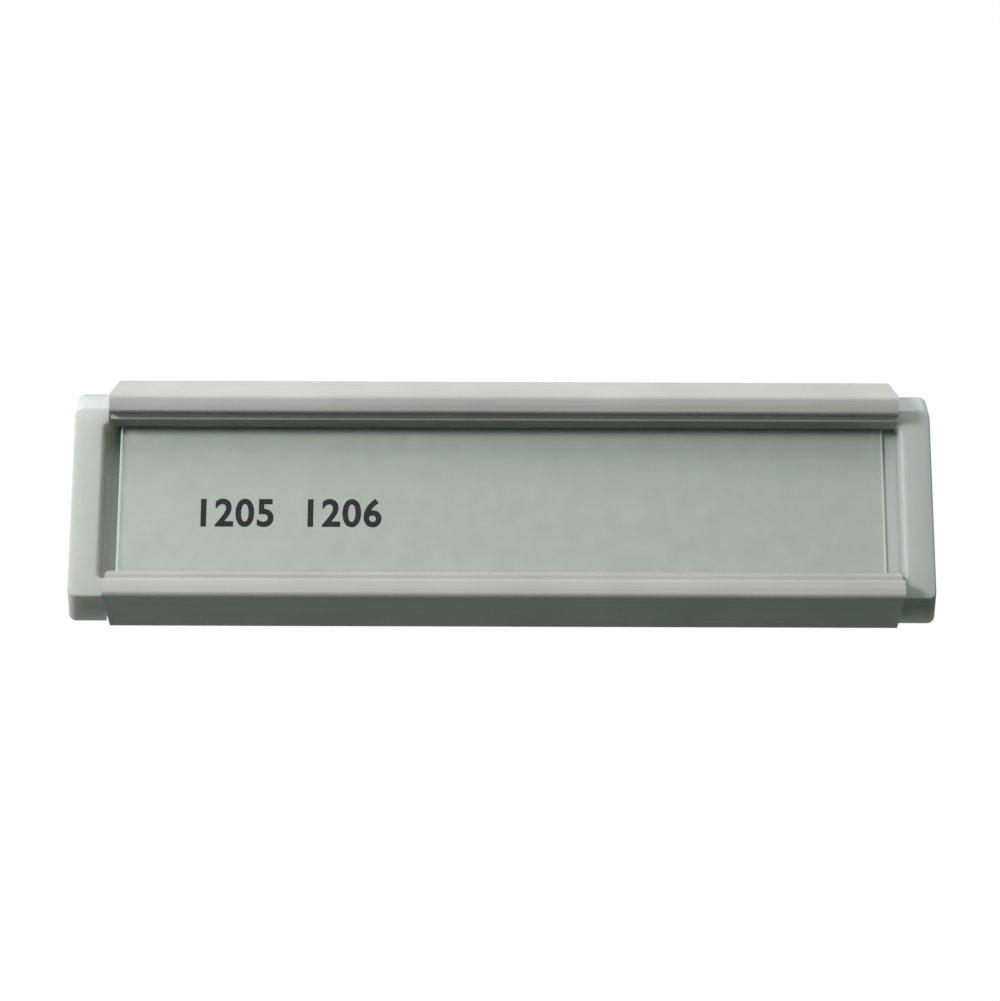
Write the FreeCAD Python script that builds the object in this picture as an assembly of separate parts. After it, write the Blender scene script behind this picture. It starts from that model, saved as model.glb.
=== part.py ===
import FreeCAD, Part
import math
import os

# Mailbox name plate: an extruded aluminium channel that holds a card behind a clear window and is
# closed by two moulded end caps. Millimetres. X runs along the plate, the front faces -Y, Z is up,
# and the origin is the centre of the flat back face. Depths are measured forward from that face.

# Channel profile
channel_length = 100.0
back_height = 32.1            # between the two rear edges
front_height = 25.5           # between the two front edges
back_wall = 1.2
side_wall = 1.25              # square to the flared wall
bead_width = 2.2              # height of the bead's front face
bead_depth = 1.6              # how far the bead stands in front of the flange
bead_fall = 0.4               # inner edge of the bead's face behind its outer edge
bead_crown = 0.08             # rise of that leaning face at its middle
crown_radius = 4.5
flange_thickness = 1.8
flange_reach = 0.65           # flat of the flange beyond the bead
flange_bevel = 0.65           # height of the bevel from that flat to the window
rear_edge_radius = 0.1
front_edge_radius = 0.9
bead_edge_radius = 0.5
cove_radius = 0.15
flange_edge_radius = 0.12
cavity_radius = 0.25

# Window and card
window_thickness = 0.5
window_end_chamfer = 0.15     # front edges of the two cut ends
window_room = 0.5             # window's edge to the flared wall
window_end_room = 2.4         # window shorter than the channel
window_right_gap = 1.5        # of that room, what is left at the right end
card_thickness = 0.25
card_inset = 0.1              # card inside the window's outline, all round
face_gap = 0.03               # between back wall, tongue, card, window and flange
seat_gap = 0.05               # left under a piece that has settled

# End caps
cap_length = 4.3              # block along X, at its front
cap_setback = 2.15            # front of the block behind the front of the bead
cap_rear_inset = 1.3          # block's outline inside the channel's, at the back
cap_front_inset = 1.85        # the same at the front of the block
cap_draft = 8.0               # degrees on the outer end
cap_corner_radius = 1.0
cap_edge_radius = 0.25
cap_play = 0.45               # left cap short of being pushed home
notch_length = 0.45           # shallow notch opposite the window's end
notch_corner_radius = 0.6
notch_edge_radius = 0.5
tongue_length = 8.0           # inside the channel, behind the card
tongue_thickness = 0.55
tongue_room = 0.65            # tongue's edge to the flared wall
tongue_corner_radius = 1.5

fillet_share = 0.45           # most of an edge that one rounded corner may take

tongue_back = back_wall + face_gap
tongue_front = tongue_back + tongue_thickness
card_back = tongue_front + face_gap
card_front = card_back + card_thickness
window_back = card_front + face_gap
window_front = window_back + window_thickness
flange_back = window_front + face_gap
flange_front = flange_back + flange_thickness
channel_depth = flange_front + bead_depth
cap_depth = channel_depth - cap_setback

channel_end = channel_length / 2
flare = (back_height - front_height) / 2 / channel_depth
side_wall_rise = side_wall * math.hypot(1, flare)


def outer_height(depth):
    return back_height / 2 - flare * depth


def inner_height(depth):
    return outer_height(depth) - side_wall_rise


bead_outer = outer_height(channel_depth)
bead_inner = bead_outer - bead_width
flange_edge = bead_inner - flange_reach

window_length = channel_length - window_end_room
window_half_height = inner_height(window_front) - window_room
tongue_half_height = inner_height(tongue_front) - tongue_room
insert_shift = window_end_room / 2 - window_right_gap
insert_drop = window_room - cavity_radius  # window and card lie in the channel's lower corner
cap_drop = tongue_room - seat_gap          # caps hang with their tongues on its lower wall


def at(x, depth, height):
    return FreeCAD.Vector(x, -depth, height)


def rounded_wire(corners):
    # Closed outline through (point, radius) corners, each rounded by a tangent arc. A radius is
    # limited by the edges beside it.
    points = [point for point, radius in corners]
    bends = []
    for i, (point, radius) in enumerate(corners):
        before = points[i - 1] - point
        after = points[(i + 1) % len(points)] - point
        half_angle = before.getAngle(after) / 2
        room = fillet_share * min(before.Length, after.Length)
        setback = min(radius / math.tan(half_angle), room)
        bend_radius = setback * math.tan(half_angle)
        before.normalize()
        after.normalize()
        inward = (before + after).normalize()
        middle = point + inward * (bend_radius / math.sin(half_angle) - bend_radius)
        bends.append((point + before * setback, middle, point + after * setback))
    edges = []
    for i, (start, middle, end) in enumerate(bends):
        edges.append(Part.LineSegment(bends[i - 1][2], start).toShape())
        if corners[i][1]:
            edges.append(Part.Arc(start, middle, end).toShape())
    return Part.Wire(edges)


def extruded(corners, start_x, end_x):
    # Corners are (depth, height, radius), drawn square to X.
    wire = rounded_wire([(at(start_x, depth, height), radius) for depth, height, radius in corners])
    return Part.Face(wire).extrude(FreeCAD.Vector(end_x - start_x, 0, 0))


def make_channel():
    upper_half = [
        (0, outer_height(0), rear_edge_radius),
        (channel_depth, bead_outer, front_edge_radius),
        (channel_depth - bead_fall / 2 + bead_crown, bead_outer - bead_width / 2, crown_radius),
        (channel_depth - bead_fall, bead_inner, bead_edge_radius),
        (flange_front, bead_inner, cove_radius),
        (flange_front, flange_edge, flange_edge_radius),
        (flange_back, flange_edge - flange_bevel, flange_edge_radius),
        (flange_back, inner_height(flange_back), cavity_radius),
        (back_wall, inner_height(back_wall), cavity_radius),
    ]
    lower_half = [(depth, -height, radius) for depth, height, radius in reversed(upper_half)]
    return extruded(upper_half + lower_half, -channel_end, channel_end)


def make_strip(corners, half_height):
    # A flat strip in the channel, settled downwards and pushed to the right. Corners are (x, depth).
    points = [at(insert_shift + x, depth, -half_height - insert_drop) for x, depth in corners]
    face = Part.Face(Part.makePolygon(points + points[:1]))
    return face.extrude(FreeCAD.Vector(0, 0, 2 * half_height))


def make_window():
    end = window_length / 2
    shoulder = window_front - window_end_chamfer
    return make_strip([
        (-end, window_back),
        (-end, shoulder),
        (window_end_chamfer - end, window_front),
        (end - window_end_chamfer, window_front),
        (end, shoulder),
        (end, window_back),
    ], window_half_height)


def make_card():
    end = window_length / 2 - card_inset
    return make_strip([
        (-end, card_back),
        (-end, card_front),
        (end, card_front),
        (end, card_back),
    ], window_half_height - card_inset)


def cap_height(depth):
    inset = cap_rear_inset + (cap_front_inset - cap_rear_inset) * depth / cap_depth
    return outer_height(depth) - inset


def make_cap_block(notch_x):
    # Tapered block against the channel's end, notched down to the tongue between the two flanges.
    def outline(depth):
        outer_x = channel_end + cap_length + (cap_depth - depth) * math.tan(math.radians(cap_draft))
        return rounded_wire([
            (at(channel_end, depth, -cap_height(depth)), 0),
            (at(outer_x, depth, -cap_height(depth)), cap_corner_radius),
            (at(outer_x, depth, cap_height(depth)), cap_corner_radius),
            (at(channel_end, depth, cap_height(depth)), 0),
        ])

    notch = Part.Face(rounded_wire([
        (at(channel_end - tongue_length, tongue_front, -flange_edge), 0),
        (at(notch_x, tongue_front, -flange_edge), notch_corner_radius),
        (at(notch_x, tongue_front, flange_edge), notch_corner_radius),
        (at(channel_end - tongue_length, tongue_front, flange_edge), 0),
    ])).extrude(FreeCAD.Vector(0, -cap_depth, 0))
    block = Part.makeLoft([outline(0), outline(cap_depth)], True, True).cut(notch)

    def front_edges(start_x, end_x):
        return [edge for edge in block.Edges
                if edge.BoundBox.YMax < face_gap - cap_depth and start_x < edge.BoundBox.XMax < end_x]

    block = block.makeFillet(notch_edge_radius, front_edges(channel_end + face_gap, notch_x + face_gap))
    return block.makeFillet(cap_edge_radius, front_edges(notch_x + cap_length / 2, math.inf))


def make_cap_tongue(root_x):
    # Flat tongue that slides in between the channel's back wall and the card.
    tip_x = channel_end - tongue_length
    return Part.Face(rounded_wire([
        (at(root_x, tongue_back, -tongue_half_height), 0),
        (at(root_x, tongue_back, tongue_half_height), 0),
        (at(tip_x, tongue_back, tongue_half_height), tongue_corner_radius),
        (at(tip_x, tongue_back, -tongue_half_height), tongue_corner_radius),
    ])).extrude(FreeCAD.Vector(0, -tongue_thickness, 0))


def make_right_cap():
    notch_x = channel_end + notch_length
    cap = make_cap_block(notch_x).fuse(make_cap_tongue(notch_x + cap_length / 2)).removeSplitter().Solids[0]
    cap.translate(FreeCAD.Vector(0, 0, -cap_drop))
    return cap


right_cap = make_right_cap()
left_cap = right_cap.mirror(FreeCAD.Vector(0, 0, 0), FreeCAD.Vector(1, 0, 0))
left_cap.translate(FreeCAD.Vector(-cap_play, 0, 0))
pieces = {
    "channel_profile": make_channel(),
    "clear_window": make_window(),
    "name_card": make_card(),
    "left_end_cap": left_cap,
    "right_end_cap": right_cap,
}

os.makedirs("parts", exist_ok=True)
for node, shape in pieces.items():
    shape.exportStep(f"parts/{node}.step")
    print(node, round(shape.Volume, 1), "mm3")
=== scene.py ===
import math
import bpy
import bmesh
from mathutils import Matrix, Vector


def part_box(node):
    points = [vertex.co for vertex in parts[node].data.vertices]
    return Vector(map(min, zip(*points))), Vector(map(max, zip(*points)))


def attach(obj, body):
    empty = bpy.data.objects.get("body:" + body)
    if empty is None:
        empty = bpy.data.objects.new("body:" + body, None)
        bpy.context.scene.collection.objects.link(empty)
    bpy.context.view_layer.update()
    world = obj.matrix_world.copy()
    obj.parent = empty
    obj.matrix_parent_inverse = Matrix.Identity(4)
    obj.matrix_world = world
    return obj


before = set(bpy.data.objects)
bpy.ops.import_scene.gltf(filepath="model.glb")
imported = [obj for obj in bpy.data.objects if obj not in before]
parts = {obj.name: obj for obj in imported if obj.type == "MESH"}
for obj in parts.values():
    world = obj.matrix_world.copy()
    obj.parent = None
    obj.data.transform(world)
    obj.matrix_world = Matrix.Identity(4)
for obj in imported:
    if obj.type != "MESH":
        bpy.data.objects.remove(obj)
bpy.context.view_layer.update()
mm = 0.001
print("frame loaded:", ", ".join(sorted(parts)))


def linear(hexColour):
    # sRGB hex to the linear RGBA that sockets take
    out = []
    for i in (1, 3, 5):
        c = int(hexColour[i:i + 2], 16) / 255
        out.append(c / 12.92 if c <= 0.04045 else ((c + 0.055) / 1.055) ** 2.4)
    return (*out, 1.0)


def addNode(tree, kind, settings=None, links=None):
    # settings: node properties or input values
    # links: input -> a socket, or a node for its first output
    # a Mix node's inputs: 0 the share, 2 and 3 numbers, 6 and 7 colours; its output 2 is the colour
    node = tree.nodes.new(kind)
    for key, value in (settings or {}).items():
        if isinstance(key, str) and hasattr(node, key):
            setattr(node, key, value)
        else:
            node.inputs[key].default_value = value
    for key, source in (links or {}).items():
        socket = source.outputs[0] if hasattr(source, "outputs") else source
        tree.links.new(socket, node.inputs[key])
    return node


def newMaterial(name):
    material = bpy.data.materials.new(name)
    material.use_nodes = True
    material.node_tree.nodes.clear()
    return material, material.node_tree


def perMm(size):
    # texture scale for features of that many millimetres, on Object coordinates in metres
    return 1 / (size * mm)


def dress(node, material):
    for slot in parts[node].material_slots:
        slot.material = material


# Anodised aluminium, extruded and etched: a soft grey sheen with faint die lines along the length,
# and saw lines on the cut ends. The oxide scatters most of the light, so little of it acts as bare
# metal. Real die lines are near 0.05 mm, drawn coarser to show. Draw is a line's width over its
# length.
alu = {
    "pale": "#B3B2AE", "deep": "#A3A29E", "toneLow": 0.6, "toneHigh": 1.1,
    "lineMm": 0.22, "lineDraw": 0.004, "lineDetail": 3.0, "lineShare": 0.7,
    "cloudMm": 16.0, "cloudDetail": 2.0,
    "sawn": "#C2C3C1", "groove": "#8F918F", "sawMm": 0.35, "sawDraw": 0.03, "sawDetail": 2.0,
    "cutFacing": 0.9, "relief": 0.25, "reliefMm": 0.01,
    "roughness": 0.5, "spread": 0.06, "sawnRoughness": 0.35, "metallic": 0.2,
}


def anodisedAluminium():
    material, tree = newMaterial("anodised_aluminium_extruded")
    coords = addNode(tree, "ShaderNodeTexCoord")
    place = coords.outputs["Object"]
    drawn = addNode(tree, "ShaderNodeMapping",
                    {"Scale": (alu["lineDraw"], 1, 1)}, {"Vector": place})
    lines = addNode(tree, "ShaderNodeTexNoise",
                    {"Scale": perMm(alu["lineMm"]), "Detail": alu["lineDetail"]}, {"Vector": drawn})
    cloud = addNode(tree, "ShaderNodeTexNoise",
                    {"Scale": perMm(alu["cloudMm"]), "Detail": alu["cloudDetail"]}, {"Vector": place})
    blend = addNode(tree, "ShaderNodeMath",
                    {"operation": "MULTIPLY_ADD", 1: alu["lineShare"]}, {0: lines, 2: cloud})
    tone = addNode(tree, "ShaderNodeMapRange",
                   {"From Min": alu["toneLow"], "From Max": alu["toneHigh"]}, {"Value": blend})
    skin = addNode(tree, "ShaderNodeMix",
                   {"data_type": "RGBA", 6: linear(alu["deep"]), 7: linear(alu["pale"])}, {0: tone})
    strokes = addNode(tree, "ShaderNodeMapping",
                      {"Scale": (1, alu["sawDraw"], 1)}, {"Vector": place})
    saw = addNode(tree, "ShaderNodeTexNoise",
                  {"Scale": perMm(alu["sawMm"]), "Detail": alu["sawDetail"]}, {"Vector": strokes})
    sawn = addNode(tree, "ShaderNodeMix",
                   {"data_type": "RGBA", 6: linear(alu["groove"]), 7: linear(alu["sawn"])}, {0: saw})
    # cut is 1 on the faces square to the length
    normal = addNode(tree, "ShaderNodeSeparateXYZ", links={0: coords.outputs["Normal"]})
    facing = addNode(tree, "ShaderNodeMath", {"operation": "ABSOLUTE"}, {0: normal})
    cut = addNode(tree, "ShaderNodeMath",
                  {"operation": "GREATER_THAN", 1: alu["cutFacing"]}, {0: facing})
    colour = addNode(tree, "ShaderNodeMix", {"data_type": "RGBA"},
                     {0: cut, 6: skin.outputs[2], 7: sawn.outputs[2]})
    satin = addNode(tree, "ShaderNodeMapRange",
                    {"To Min": alu["roughness"] - alu["spread"],
                     "To Max": alu["roughness"] + alu["spread"]}, {"Value": lines})
    rough = addNode(tree, "ShaderNodeMix", {3: alu["sawnRoughness"]}, {0: cut, 2: satin})
    height = addNode(tree, "ShaderNodeMix", links={0: cut, 2: lines, 3: saw})
    bump = addNode(tree, "ShaderNodeBump",
                   {"Strength": alu["relief"], "Distance": alu["reliefMm"] * mm}, {"Height": height})
    shader = addNode(tree, "ShaderNodeBsdfPrincipled", {"Metallic": alu["metallic"]},
                     {"Base Color": colour.outputs[2], "Roughness": rough, "Normal": bump})
    addNode(tree, "ShaderNodeOutputMaterial", links={"Surface": shader})
    return material


# Polypropylene, moulded: matt grey, and warm where light leaks through the thick ends. The thin
# tongues lie on metal, which sends their light straight back. Real grain is near 0.03 mm, drawn
# coarser to show.
cap = {
    "colour": "#B0B4B1", "warm": "#ACAFA9", "cloudMm": 5.0, "cloudDetail": 2.0,
    "grainMm": 0.12, "grainDetail": 2.0, "relief": 0.2, "reliefMm": 0.01,
    "roughness": 0.62, "spread": 0.08, "specular": 0.3,
    "glow": 0.4, "glowMm": 14.0, "glowTint": (1.0, 0.85, 0.65), "tongueEndMm": 50.2,
}


def mouldedPolypropylene():
    material, tree = newMaterial("polypropylene_moulded")
    place = addNode(tree, "ShaderNodeTexCoord").outputs["Object"]
    cloud = addNode(tree, "ShaderNodeTexNoise",
                    {"Scale": perMm(cap["cloudMm"]), "Detail": cap["cloudDetail"]}, {"Vector": place})
    colour = addNode(tree, "ShaderNodeMix",
                     {"data_type": "RGBA", 6: linear(cap["warm"]), 7: linear(cap["colour"])},
                     {0: cloud})
    grain = addNode(tree, "ShaderNodeTexNoise",
                    {"Scale": perMm(cap["grainMm"]), "Detail": cap["grainDetail"]}, {"Vector": place})
    rough = addNode(tree, "ShaderNodeMapRange",
                    {"To Min": cap["roughness"] - cap["spread"],
                     "To Max": cap["roughness"] + cap["spread"]}, {"Value": grain})
    bump = addNode(tree, "ShaderNodeBump",
                   {"Strength": cap["relief"], "Distance": cap["reliefMm"] * mm}, {"Height": grain})
    along = addNode(tree, "ShaderNodeSeparateXYZ", links={0: place})
    away = addNode(tree, "ShaderNodeMath", {"operation": "ABSOLUTE"}, {0: along})
    thick = addNode(tree, "ShaderNodeMath",
                    {"operation": "GREATER_THAN", 1: cap["tongueEndMm"] * mm}, {0: away})
    glow = addNode(tree, "ShaderNodeMapRange", {"To Max": cap["glow"]}, {"Value": thick})
    shader = addNode(tree, "ShaderNodeBsdfPrincipled",
                     {"Subsurface Radius": cap["glowTint"], "Subsurface Scale": cap["glowMm"] * mm,
                      "Specular IOR Level": cap["specular"]},
                     {"Base Color": colour.outputs[2], "Roughness": rough, "Subsurface Weight": glow,
                      "Normal": bump})
    addNode(tree, "ShaderNodeOutputMaterial", links={"Surface": shader})
    return material


# Low-glare PVC sheet, calendered and guillotined: clear faces with a weak glint, ends that the blade
# left frosted, and a pale margin beside each cut that is painted edge glow from light the cut ends
# scatter
window = {
    "tint": "#FBFDFB", "glint": "#A0A0A0", "ior": 1.53,
    "frostAndGlow": "#C6D2CC", "frostAndGlowRoughness": 0.5, "frostAndGlowClear": 0.3, "glowMarginMm": 0.3,
}


def calenderedPvc():
    material, tree = newMaterial("pvc_calendered_clear")
    low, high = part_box("clear_window")
    middle = (low[0] + high[0]) / 2
    margin = (high[0] - low[0]) / 2 - window["glowMarginMm"] * mm
    place = addNode(tree, "ShaderNodeTexCoord").outputs["Object"]
    centred = addNode(tree, "ShaderNodeMapping", {"Location": (-middle, 0, 0)}, {"Vector": place})
    along = addNode(tree, "ShaderNodeSeparateXYZ", links={0: centred})
    away = addNode(tree, "ShaderNodeMath", {"operation": "ABSOLUTE"}, {0: along})
    # cut is 1 on the frosted ends and on the margin of painted edge glow beside them
    cut = addNode(tree, "ShaderNodeMath", {"operation": "GREATER_THAN", 1: margin}, {0: away})
    colour = addNode(tree, "ShaderNodeMix",
                     {"data_type": "RGBA", 6: linear(window["tint"]), 7: linear(window["frostAndGlow"])},
                     {0: cut})
    rough = addNode(tree, "ShaderNodeMapRange",
                    {"To Max": window["frostAndGlowRoughness"]}, {"Value": cut})
    through = addNode(tree, "ShaderNodeMapRange",
                      {"To Min": 1.0, "To Max": window["frostAndGlowClear"]}, {"Value": cut})
    shader = addNode(tree, "ShaderNodeBsdfPrincipled",
                     {"IOR": window["ior"], "Specular Tint": linear(window["glint"])},
                     {"Base Color": colour.outputs[2], "Roughness": rough,
                      "Transmission Weight": through})
    addNode(tree, "ShaderNodeOutputMaterial", links={"Surface": shader})
    return material


# Uncoated card, calendered: matt, with a faint mottle. Real fibres are near 0.03 mm, drawn coarser
# to show.
card = {
    "colour": "#AFB6AE", "mottle": "#A6ADA5", "toneLow": 0.35, "toneHigh": 0.95,
    "mottleMm": 2.5, "mottleDetail": 5.0, "fibreMm": 0.25, "fibreDetail": 3.0, "fibreShare": 0.3,
    "relief": 0.2, "reliefMm": 0.01, "roughness": 0.85,
}


def uncoatedCard():
    material, tree = newMaterial("card_calendered_uncoated")
    place = addNode(tree, "ShaderNodeTexCoord").outputs["Object"]
    mottle = addNode(tree, "ShaderNodeTexNoise",
                     {"Scale": perMm(card["mottleMm"]), "Detail": card["mottleDetail"]},
                     {"Vector": place})
    fibre = addNode(tree, "ShaderNodeTexNoise",
                    {"Scale": perMm(card["fibreMm"]), "Detail": card["fibreDetail"]},
                    {"Vector": place})
    blend = addNode(tree, "ShaderNodeMath",
                    {"operation": "MULTIPLY_ADD", 1: card["fibreShare"]}, {0: fibre, 2: mottle})
    tone = addNode(tree, "ShaderNodeMapRange",
                   {"From Min": card["toneLow"], "From Max": card["toneHigh"]}, {"Value": blend})
    colour = addNode(tree, "ShaderNodeMix",
                     {"data_type": "RGBA", 6: linear(card["mottle"]), 7: linear(card["colour"])},
                     {0: tone})
    bump = addNode(tree, "ShaderNodeBump",
                   {"Strength": card["relief"], "Distance": card["reliefMm"] * mm}, {"Height": fibre})
    shader = addNode(tree, "ShaderNodeBsdfPrincipled", {"Roughness": card["roughness"]},
                     {"Base Color": colour.outputs[2], "Normal": bump})
    addNode(tree, "ShaderNodeOutputMaterial", links={"Surface": shader})
    return material


dress("channel_profile", anodisedAluminium())
capMaterial = mouldedPolypropylene()
for name in ("left_end_cap", "right_end_cap"):
    dress(name, capMaterial)
dress("clear_window", calenderedPvc())
parts["clear_window"].visible_shadow = False  # lamp light goes straight through the clear sheet
dress("name_card", uncoatedCard())
print("materials on", len(parts), "nodes")

# Toner, laser-printed: a dark matt film with slightly uneven cover, in two plain box numbers.
# Weight, depth and weld are in the font's own units, before the text is scaled to heightMm.
ink = {
    "words": "1205  1206", "leftMm": -38.6, "baseMm": -3.6, "heightMm": 3.7, "filmMm": 0.014,
    "weight": 0.025, "spacing": 1.08, "depth": 0.1, "weld": 1e-5, "curveSteps": 6,
    "dark": "#0B0E0D", "thin": "#161A1A", "coverMm": 0.3, "coverDetail": 3.0,
    "roughness": 0.8, "specular": 0.15,
}


def printedToner():
    material, tree = newMaterial("toner_printed")
    place = addNode(tree, "ShaderNodeTexCoord").outputs["Object"]
    cover = addNode(tree, "ShaderNodeTexNoise",
                    {"Scale": perMm(ink["coverMm"]), "Detail": ink["coverDetail"]}, {"Vector": place})
    colour = addNode(tree, "ShaderNodeMix",
                     {"data_type": "RGBA", 6: linear(ink["thin"]), 7: linear(ink["dark"])}, {0: cover})
    shader = addNode(tree, "ShaderNodeBsdfPrincipled",
                     {"Roughness": ink["roughness"], "Specular IOR Level": ink["specular"]},
                     {"Base Color": colour.outputs[2]})
    addNode(tree, "ShaderNodeOutputMaterial", links={"Surface": shader})
    return material


def boxNumbers():
    # text with some depth, made a mesh and then set on the card's face as a closed film
    curve = bpy.data.curves.new("box_numbers", "FONT")
    curve.body = ink["words"]
    curve.offset = ink["weight"]
    curve.space_character = ink["spacing"]
    curve.extrude = ink["depth"]
    curve.resolution_u = ink["curveSteps"]
    loose = bpy.data.objects.new("box_numbers_outline", curve)
    bpy.context.scene.collection.objects.link(loose)
    bpy.context.view_layer.update()
    solved = loose.evaluated_get(bpy.context.evaluated_depsgraph_get())
    mesh = bpy.data.meshes.new_from_object(solved)
    bpy.data.objects.remove(loose)
    mesh.name = "box_numbers"
    bm = bmesh.new()
    bm.from_mesh(mesh)
    bmesh.ops.remove_doubles(bm, verts=bm.verts, dist=ink["weld"])
    low = Vector([min(v.co[i] for v in bm.verts) for i in range(3)])
    high = Vector([max(v.co[i] for v in bm.verts) for i in range(3)])
    size = ink["heightMm"] * mm / (high.y - low.y)
    film = ink["filmMm"] * mm / (high.z - low.z)
    upright = Matrix.Rotation(math.radians(90), 3, "X")
    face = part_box("name_card")[0][1]
    bmesh.ops.translate(bm, verts=bm.verts, vec=-low)
    bmesh.ops.scale(bm, verts=bm.verts, vec=(size, size, film))
    bmesh.ops.rotate(bm, verts=bm.verts, cent=(0, 0, 0), matrix=upright)
    bmesh.ops.translate(bm, verts=bm.verts, vec=(ink["leftMm"] * mm, face, ink["baseMm"] * mm))
    bmesh.ops.recalc_face_normals(bm, faces=bm.faces)
    bm.to_mesh(mesh)
    bm.free()
    mesh.materials.clear()
    mesh.materials.append(printedToner())
    piece = bpy.data.objects.new("box_numbers", mesh)
    bpy.context.scene.collection.objects.link(piece)
    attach(piece, "root")
    print("box numbers:", len(mesh.polygons), "faces")


boxNumbers()


def seenDirectly(tree):
    # camera, mirror and window rays, but not the light that a matt surface gathers through a window
    path = addNode(tree, "ShaderNodeLightPath")
    seen = addNode(tree, "ShaderNodeMath", {"operation": "MAXIMUM"},
                   {0: path.outputs["Is Camera Ray"], 1: path.outputs["Is Glossy Ray"]})
    seen = addNode(tree, "ShaderNodeMath", {"operation": "MAXIMUM"},
                   {0: seen, 1: path.outputs["Is Transmission Ray"]})
    direct = addNode(tree, "ShaderNodeMath", {"operation": "LESS_THAN", 1: 1},
                     {0: path.outputs["Diffuse Depth"]})
    return addNode(tree, "ShaderNodeMath", {"operation": "MULTIPLY"}, {0: seen, 1: direct})


# Studio: white all round for camera and reflections, with a low even fill for matt surfaces
studio = {"seen": "#FFFFFF", "fill": "#84E4C4", "fillStrength": 0.1}


def buildWorld():
    world = bpy.data.worlds.new("studio_white")
    world.use_nodes = True
    tree = world.node_tree
    tree.nodes.clear()
    fill = addNode(tree, "ShaderNodeBackground",
                   {"Color": linear(studio["fill"]), "Strength": studio["fillStrength"]})
    white = addNode(tree, "ShaderNodeBackground", {"Color": linear(studio["seen"])})
    mix = addNode(tree, "ShaderNodeMixShader", links={0: seenDirectly(tree), 1: fill, 2: white})
    addNode(tree, "ShaderNodeOutputWorld", links={"Surface": mix})
    bpy.context.scene.world = world


# Floor: pale where it is seen, and darker in the light that it throws back up
floor = {"colour": "#D8DAD9", "bounce": "#1C3C34", "drop": 0.28, "radius": 0.5, "segments": 128}


def buildFloor():
    mesh = bpy.data.meshes.new("floor")
    bm = bmesh.new()
    bmesh.ops.create_circle(bm, cap_ends=True, segments=floor["segments"], radius=floor["radius"],
                            matrix=Matrix.Translation((0, 0, -floor["drop"])))
    bm.to_mesh(mesh)
    bm.free()
    piece = bpy.data.objects.new("floor", mesh)
    bpy.context.scene.collection.objects.link(piece)
    material, tree = newMaterial("floor_pale")
    shown = addNode(tree, "ShaderNodeMix",
                    {"data_type": "RGBA", 6: linear(floor["bounce"]), 7: linear(floor["colour"])},
                    {0: seenDirectly(tree)})
    shader = addNode(tree, "ShaderNodeBsdfDiffuse", links={"Color": shown.outputs[2]})
    addNode(tree, "ShaderNodeOutputMaterial", links={"Surface": shader})
    mesh.materials.append(material)


# Lamps: a key low on the left, a soft one above, and a weak one for the back
lamps = {
    "key": {"from": (-1.45, -1.0, 0.62), "distance": 0.55, "size": 0.13, "watts": 3.55,
            "colour": "#FFFDFF"},
    "top": {"from": (0.05, -0.5, 1.0), "distance": 0.6, "size": 0.4, "watts": 3.3,
            "colour": "#FFFDFF"},
    "back": {"from": (-0.5, 1.0, 0.3), "distance": 0.9, "size": 0.4, "watts": 3.0,
             "colour": "#FFFFFF"},
}


def buildLamp(name, lamp):
    light = bpy.data.lights.new(name, "AREA")
    light.shape = "DISK"
    light.size = lamp["size"]
    light.energy = lamp["watts"]
    light.color = linear(lamp["colour"])[:3]
    holder = bpy.data.objects.new(name, light)
    holder.visible_glossy = holder.visible_transmission = False  # its light crosses the window once
    towards = Vector(lamp["from"]).normalized()
    holder.location = towards * lamp["distance"]
    holder.rotation_euler = towards.to_track_quat("Z", "Y").to_euler()
    bpy.context.scene.collection.objects.link(holder)


# Camera: at the photograph's angle, low in front and tilted up
shot = {
    "placeMm": (-1.2, -229.1, -40.4), "tiltUp": 10.08, "turn": -0.17, "roll": 0.17,
    "focalPixels": 1808, "framePixels": 1001, "sensorMm": 36, "nearMm": 5,
}


def buildCamera():
    lens = bpy.data.cameras.new("shot")
    lens.sensor_width = shot["sensorMm"]
    lens.lens = shot["focalPixels"] / shot["framePixels"] * shot["sensorMm"]
    lens.clip_start = shot["nearMm"] * mm
    camera = bpy.data.objects.new("shot", lens)
    placed = Matrix.Translation(Vector(shot["placeMm"]) * mm)
    turned = Matrix.Rotation(math.radians(shot["turn"]), 4, "Z")
    tilted = Matrix.Rotation(math.radians(90 + shot["tiltUp"]), 4, "X")
    rolled = Matrix.Rotation(math.radians(shot["roll"]), 4, "Z")
    camera.matrix_world = placed @ turned @ tilted @ rolled
    bpy.context.scene.collection.objects.link(camera)
    bpy.context.scene.camera = camera


buildWorld()
buildFloor()
for name, lamp in lamps.items():
    buildLamp(name, lamp)
buildCamera()
bpy.context.scene.view_settings.view_transform = "Standard"
print("studio and camera placed")
